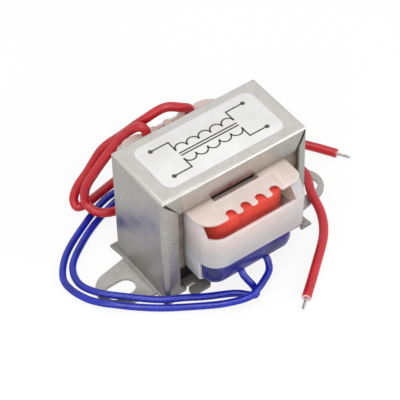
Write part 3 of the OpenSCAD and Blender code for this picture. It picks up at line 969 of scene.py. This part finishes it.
@dataclass
class Leads(Assembly):
    """The two red primary leads and the two blue secondary leads."""

    red_diameter: float = 2.4
    blue_diameter: float = 1.8
    red_notches: Range = (5.95, -6.95)
    notch_y: float = 16.65
    notch_z: float = 25.95
    rises: Range = (2.2, 1.6)
    skirt_x: Range = (4.0, -3.5)
    skirt_y: float = -17.25
    skirt_z: float = 5.5
    lengths: tuple[float, ...] = (126.7, 141.8, 116.3, 105.4)
    red_1: Sequence[Point] = (
        (4, 16.8, 29.6), (0.5, 18.8, 30.2), (-5, 21, 27.2), (-9.5, 23.5, 23), (-13.5, 27, 17.5),
        (-17.5, 28.5, 10.5), (-20.5, 29.5, 5.5), (-22, 29, 2.5), (-22, 27.5, 1.2), (-20, 27, 1.2),
        (-17, 27.5, 1.2), (-10, 29, 1.2), (4, 31.5, 1.2), (20, 27.5, 1.2), (32.5, 17, 1.2),
        (38.5, 9, 1.2), (42.5, 2.5, 1.2),
    )
    red_2: Sequence[Point] = (
        (-7, 17, 28.4), (-7.5, 17.8, 28.9), (-8.3, 18.8, 28.6), (-9.7, 20, 27.2), (-11, 21.8, 24.2),
        (-13, 22.6, 21.4), (-17.5, 24, 15), (-20.5, 25.5, 8), (-21, 24.5, 4.5), (-20, 21.5, 3.3),
        (-16.5, 19.5, 2.8), (-11, 20.5, 1.8), (4, 21.8, 1.2), (20, 17.5, 1.2), (29, 9, 1.9),
        (31, 2, 2.1), (28, -5, 2.1), (26, -11.5, 1.5), (22.5, -17, 1.2), (14, -24.5, 1.2),
        (6, -31, 1.2),
    )
    blue_1: Sequence[Point] = (
        (3, -20, 3.5), (-0.5, -22, 3.1), (-3, -23, 3), (-5.5, -23.5, 2.8), (-10.5, -21, 1.5),
        (-18, -16.2, 0.9), (-24, -12.3, 1), (-29.8, -7.8, 1.4), (-32.3, -5.6, 1.7),
        (-34.6, -3, 1.5), (-36.8, 1, 0.9), (-38.2, 5.5, 0.9), (-38, 9.5, 0.9), (-33.5, 15.5, 0.9),
        (-23, 22, 0.9), (-15, 25.5, 0.9), (-8, 26.5, 0.9), (0, 27.5, 0.9), (10, 27, 0.9),
    )
    blue_2: Sequence[Point] = (
        (-3, -19.3, 3.3), (-2.3, -20.7, 1.8), (-2.3, -22, 1), (-3.3, -22.6, 0.9),
        (-4.5, -21.5, 0.9), (-6.5, -19.5, 0.9), (-13.5, -15.8, 1.1), (-18, -13.6, 1.8),
        (-23, -10.7, 1.9), (-29.2, -4.8, 1.85), (-34, 0.5, 1.85), (-35.7, 6, 1.1),
        (-34, 11.5, 0.9), (-27, 17.2, 0.9), (-18.5, 21.5, 0.9), (-10, 24.2, 0.9), (2, 25, 0.9),
        (9, 24.5, 0.9),
    )

    def starts(self) -> list[tuple[Point, Point]]:
        """Returns the first two points of each lead, in the order red 1, red 2, blue 1, blue 2."""
        y, z = self.notch_y, self.notch_z
        red = [((x, y, z), (x, y, z + rise)) for x, rise in zip(self.red_notches, self.rises)]
        y, z = self.skirt_y, self.skirt_z
        return red + [((x, y, z), (x, y - 1, z - 1)) for x in self.skirt_x]

    def build(self) -> list[Piece]:
        """Builds the four leads, each with its cut face and strands."""
        red = Jacket("red_pvc", linear(206, 28, 42), linear(184, 22, 34)).build()
        blue = Jacket("blue_pvc", linear(16, 36, 180), linear(12, 26, 142), 0.22).build()
        # The cut faces take pale vinyl colours: a painted highlight where light catches the flat
        # ends.
        red_cut_highlight = Jacket("red_pvc_cut_highlight", linear(246, 214, 208), linear(232, 176, 170), 0.5).build()
        blue_cut_highlight = Jacket(
            "blue_pvc_cut_highlight", linear(150, 156, 214), linear(110, 116, 190), 0.5
        ).build()
        tin = Tinned().build()
        kinds = {
            "red": (Slot.RED_JACKET, self.red_diameter, red, red_cut_highlight),
            "blue": (Slot.BLUE_JACKET, self.blue_diameter, blue, blue_cut_highlight),
        }
        plan = [
            ("red", 1, self.red_1), ("red", 2, self.red_2),
            ("blue", 1, self.blue_1), ("blue", 2, self.blue_2),
        ]
        pieces = []
        for (kind, number, route), start, length in zip(plan, self.starts(), self.lengths):
            slot, diameter, jacket, cut = kinds[kind]
            lead = Lead(
                f"{kind}_lead_{number}", f"{kind}_conductor_{number}", slot, diameter, length,
                [*start, *route], jacket, cut, tin,
            )
            pieces += lead.build()
        return pieces


# Rigid sub-assemblies


@dataclass
class Bracket(Assembly):
    """The folded steel bracket."""

    edge: float = 0.12

    def build(self) -> list[Piece]:
        """Returns the bracket with its edges rounded."""
        steel = ZincSteel().build()
        return [dress_copy("bracket_sheet", "bracket", steel, self.edge)]


@dataclass
class Core(Assembly):
    """The interleaved laminations."""

    edge: float = 0.05
    sets: tuple[str, ...] = (
        "e_laminations_upright", "e_laminations_inverted",
        "i_laminations_lower", "i_laminations_upper",
    )

    def build(self) -> list[Piece]:
        """Returns the four sets of laminations, every sheet with softened edges."""
        steel = CoreSteel().build()
        return [
            dress_copy(name + "_sheets", name, steel, self.edge, SHARP_SHEET)
            for name in self.sets
        ]


@dataclass
class Mouldings(Assembly):
    """The bobbin and the winding cover."""

    edge: float = 0.14

    def build(self) -> list[Piece]:
        """Returns both mouldings."""
        comb = Nylon("bobbin_nylon", linear(231, 212, 204), linear(216, 192, 183)).build()
        shell = Nylon(
            "cover_nylon", linear(234, 216, 210), linear(222, 201, 195), glow=0.9, depth=6
        ).build()
        return [
            dress_copy("bobbin_moulding", "bobbin", comb, self.edge),
            dress_copy("cover_moulding", "winding_cover", shell, self.edge),
        ]


@dataclass
class Windings(Assembly):
    """The two windings, their splices and their tapes."""

    splice_edge: float = 0.1
    inner_edge: float = 0.05
    outer_edge: float = 0.2
    upward: float = 0.5

    def build(self) -> list[Piece]:
        """Returns the windings, splices and tapes."""
        copper = Copper().build()
        tin = Tinned("solder").build()
        red = Tape(
            "red_tape", linear(250, 86, 70), linear(242, 74, 60), gloss=0.36, patch=200, coat=0.15,
            share=0.45, crease=0.06,
        ).build()
        blue = Tape(
            "blue_tape", linear(54, 54, 136), linear(32, 32, 104), gloss=0.14, patch=130, coat=0.18
        ).build()
        turns = dress_copy("primary_turns", "primary_winding", copper)
        self.cap(turns, red)
        return [
            turns,
            dress_copy("secondary_turns", "secondary_winding", copper),
            dress_copy("primary_joints", "primary_splices", tin, self.splice_edge),
            dress_copy("secondary_joints", "secondary_splices", tin, self.splice_edge),
            dress_copy("primary_wrap", "primary_tape", red, self.inner_edge),
            dress_copy("secondary_wrap", "secondary_tape", blue, self.outer_edge),
        ]

    def cap(self, piece: Piece, tape: Material) -> None:
        """Lays tape over the upper end of a winding, which the notches leave open to view.

        Args:
            piece: The winding.
            tape: The tape's finish.
        """
        piece.data.materials.append(tape)
        for face in piece.data.polygons:
            if face.normal.z > self.upward:
                face.material_index = 1


@dataclass
class Coils:
    """A row of half loops on each side of a core, as coils are drawn. Lengths are in metres."""

    loops: int
    pitch: float
    gap: float
    width: float
    height: float
    material: Material
    arc_steps: int = 20

    def graph(self) -> FormGraph:
        """Returns the node tree."""
        g = FormGraph("coil_drawing", {
            "Loops": self.loops, "Pitch": self.pitch, "Gap": self.gap,
            "Line Width": self.width, "Line Height": self.height,
        })
        loops, pitch = g.given["Loops"], g.given["Pitch"]
        half = g.math("MULTIPLY", pitch, 0.5)
        arc = g.out("GeometryNodeCurveArc", {
            "Radius": half, "Resolution": self.arc_steps, "Start Angle": 0.0,
            "Sweep Angle": math.pi,
        })
        section = g.out("GeometryNodeCurvePrimitiveQuadrilateral", {
            "Width": g.given["Line Width"], "Height": g.given["Line Height"],
        })
        reach = g.math("MULTIPLY", g.math("SUBTRACT", loops, 1.0), g.math("MULTIPLY", half, -1.0))
        row = g.out("GeometryNodeMeshLine", {
            "Count": loops, "Offset": g.out("ShaderNodeCombineXYZ", {"X": pitch}),
            "Start Location": g.out("ShaderNodeCombineXYZ", {"X": reach, "Y": g.given["Gap"]}),
        })
        inputs = {"Points": row, "Instance": g.swept(arc, section)}
        coil = g.out("GeometryNodeInstanceOnPoints", inputs)
        other = g.out("GeometryNodeTransform", {"Geometry": coil, "Rotation": (0.0, 0.0, math.pi)})
        g.close(g.join(coil, other), self.material)
        return g


@dataclass
class Label(Assembly):
    """The white label on the top plate, with a plain drawing of two coils and a core."""

    edge: float = 0.04
    top: float = 34.72
    line: float = 0.42
    ink: float = 0.016
    loops: int = 5
    pitch: float = 3.4
    gap: float = 1.5
    bars: float = 0.42
    reach: float = 13.6
    rise: float = 4.9
    dot: float = 0.62
    dot_sides: int = 24
    dot_height: float = 1.2

    def build(self) -> list[Piece]:
        """Returns the label and its print."""
        face = dress_copy("label_face", "label", LabelFilm().build(), self.edge)
        return [face, self.drawing()]

    def drawing(self) -> Piece:
        """Builds the print as one thin piece: coils by a node tree, and the lines by strokes.

        Returns:
            The piece.
        """
        ink = Ink("print_ink", linear(58, 56, 58)).build()
        piece = put("label_print", bpy.data.meshes.new("print_seed"))
        sizes = (s * MM for s in (self.pitch, self.gap, self.line, self.ink))
        Coils(self.loops, *sizes, ink).graph().apply_to(piece)
        build = bmesh.new()
        build.from_mesh(piece.data)
        half = self.loops * self.pitch / 2
        for y in (-self.bars, self.bars):
            self.stroke(build, (-half, y), (half, y))
        for sx in (-1, 1):
            for sy in (-1, 1):
                x, y, end = sx * half, sy * self.rise, (sx * self.reach, sy * self.rise)
                self.stroke(build, (x, sy * self.gap), (x, y + sy * self.line / 2))
                self.stroke(build, (x, y), end)
                self.spot(build, end)
        for face in build.faces:
            face.material_index = 0
        build.to_mesh(piece.data)
        build.free()
        piece.data.materials.clear()
        piece.data.materials.append(ink)
        piece.data.transform(Matrix.Translation((0, 0, self.top * MM)))
        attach(piece, BODY)
        return piece

    def stroke(self, build: Build, start: Range, end: Range) -> None:
        """Adds one straight line of ink.

        Args:
            build: The mesh in work.
            start: One end in millimetres.
            end: The other end.
        """
        a, b = Vector((*start, 0)) * MM, Vector((*end, 0)) * MM
        size = Matrix.Diagonal(((b - a).length, self.line * MM, self.ink * MM, 1))
        turn = Matrix.Rotation(math.atan2(b.y - a.y, b.x - a.x), 4, "Z")
        bmesh.ops.create_cube(build, size=1, matrix=Matrix.Translation((a + b) / 2) @ turn @ size)

    def spot(self, build: Build, place: Range) -> None:
        """Adds one round dot of ink, a little thicker than the lines."""
        bmesh.ops.create_cone(
            build, cap_ends=True, segments=self.dot_sides, radius1=self.dot * MM,
            radius2=self.dot * MM, depth=self.ink * MM * self.dot_height,
            matrix=Matrix.Translation(Vector((*place, 0)) * MM),
        )


# Studio


@dataclass(frozen=True)
class Lamp:
    """A square soft lamp that faces the object. Lengths are in millimetres, power in watts."""

    name: str
    place: Point
    size: float
    power: float

    def build(self) -> None:
        """Puts the lamp in the scene."""
        light = bpy.data.lights.new(self.name, "AREA")
        light.size = self.size * MM
        light.energy = self.power
        lamp = put(self.name, light)
        lamp.location = Vector(self.place) * MM
        lamp.rotation_euler = (-lamp.location).to_track_quat("-Z", "Y").to_euler()


@dataclass
class Studio:
    """Floor, lights, world and camera. Lengths are in millimetres and angles in degrees."""

    azimuth: float = -34.84
    elevation: float = 47.42
    roll: float = -1.55
    distance: float = 475.9
    aim: Point = (1.73, 6.93, 6.13)
    lens: float = 170.45
    sensor: float = 36
    clip: Range = (20, 20000)
    floor_half: float = 3000
    floor_drop: float = 0.02
    floor_grey: Colour = (0.86, 0.86, 0.86)
    floor_white: float = 0.82
    floor_mirror: float = 0.62
    world_light: float = 0.5
    lamps: Sequence[Lamp] = (
        Lamp("top_softbox", (-120, -60, 620), 420, 1.05),
        Lamp("key_spot", (-260, -240, 520), 120, 0.36),
        Lamp("left_softbox", (-560, -260, 300), 360, 0.5),
        Lamp("right_softbox", (420, -520, 320), 360, 1.0),
        Lamp("front_softbox", (-60, -600, 360), 300, 0.6),
    )

    def build(self) -> None:
        """Builds the whole studio."""
        bpy.context.scene.view_settings.view_transform = "Standard"
        self.floor()
        self.world()
        for lamp in self.lamps:
            lamp.build()
        self.camera()

    def seen_as(self, graph: Graph, lit: Socket, rays: Sequence[str], share: float,
                level: float) -> Socket:
        """Mixes a shader with plain white for some kinds of ray.

        Args:
            graph: The node graph.
            lit: The shader's output.
            rays: Kinds of ray, as the light path node names them.
            share: Share of white for those rays.
            level: Strength of the white.

        Returns:
            The mixed shader.
        """
        path = graph.add("ShaderNodeLightPath").outputs
        seen = path[rays[0]]
        for name in rays[1:]:
            seen = graph.math("MAXIMUM", seen, path[name])
        sky = "Background" in graph.tree.nodes
        white = graph.out(
            "ShaderNodeBackground" if sky else "ShaderNodeEmission", {0: WHITE, 1: level}
        )
        amount = graph.math("MULTIPLY", seen, share)
        return graph.out("ShaderNodeMixShader", {0: amount, 1: lit, 2: white})

    def floor(self) -> None:
        """Builds the pale floor, which keeps the object's shadow."""
        half = self.floor_half * MM
        mesh = bpy.data.meshes.new("floor")
        corners = [(-half, -half, 0), (half, -half, 0), (half, half, 0), (-half, half, 0)]
        mesh.from_pydata(corners, [], [(0, 1, 2, 3)])
        floor = put("floor", mesh)
        floor.location.z = -self.floor_drop * MM
        g = SurfaceGraph("studio_floor")
        g.set(Base_Color=self.floor_grey, Roughness=0.9)
        clear = ("Is Camera Ray", "Is Transmission Ray")
        seen = self.seen_as(g, g.surface.outputs[0], clear, self.floor_white, 1.04)
        seen = self.seen_as(g, seen, ("Is Glossy Ray",), 0.9, self.floor_mirror)
        g.feed(g.tree.nodes["Material Output"], "Surface", seen)
        mesh.materials.append(g.material)

    def world(self) -> None:
        """Builds the even surroundings."""
        world = bpy.data.worlds.new("studio")
        bpy.context.scene.world = world
        world.use_nodes = True
        g = Graph(world.node_tree)
        back = g.tree.nodes["Background"]
        g.feed(back, 0, WHITE)
        g.feed(back, 1, self.world_light)
        rays = ("Is Camera Ray", "Is Glossy Ray", "Is Transmission Ray")
        seen = self.seen_as(g, back.outputs[0], rays, 1.0, 1.03)
        g.feed(g.tree.nodes["World Output"], "Surface", seen)

    def camera(self) -> None:
        """Places the camera by its angles round the aim point."""
        a, e, r = (math.radians(x) for x in (self.azimuth, self.elevation, self.roll))
        back = Vector((math.sin(a) * math.cos(e), -math.cos(a) * math.cos(e), math.sin(e)))
        right = Vector((math.cos(a), math.sin(a), 0))
        up = back.cross(right)
        tilted_right = right * math.cos(r) + up * math.sin(r)
        tilted_up = up * math.cos(r) - right * math.sin(r)
        lens = bpy.data.cameras.new("camera")
        lens.lens = self.lens
        lens.sensor_width = self.sensor
        lens.clip_start, lens.clip_end = (c * MM for c in self.clip)
        camera = put("camera", lens)
        turn = Matrix((tilted_right, tilted_up, back)).transposed().to_4x4()
        place = (Vector(self.aim) + back * self.distance) * MM
        camera.matrix_world = Matrix.Translation(place) @ turn
        bpy.context.scene.camera = camera


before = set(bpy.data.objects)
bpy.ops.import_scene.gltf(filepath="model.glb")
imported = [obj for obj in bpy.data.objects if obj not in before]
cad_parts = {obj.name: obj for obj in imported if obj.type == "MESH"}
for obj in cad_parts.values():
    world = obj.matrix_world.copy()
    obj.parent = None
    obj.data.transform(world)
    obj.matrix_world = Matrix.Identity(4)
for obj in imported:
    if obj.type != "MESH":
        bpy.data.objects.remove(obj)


def main() -> None:
    """Builds the studio and every sub-assembly."""
    logging.basicConfig(level=logging.INFO, format="%(name)s: %(message)s")
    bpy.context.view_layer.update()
    Studio().build()
    for part in (Leads(), Bracket(), Core(), Mouldings(), Windings(), Label()):
        for piece in part.build():
            LOG.info("%s: %s, %d faces", type(part).__name__, piece.name, len(piece.data.polygons))


if __name__ == "__main__":
    main()
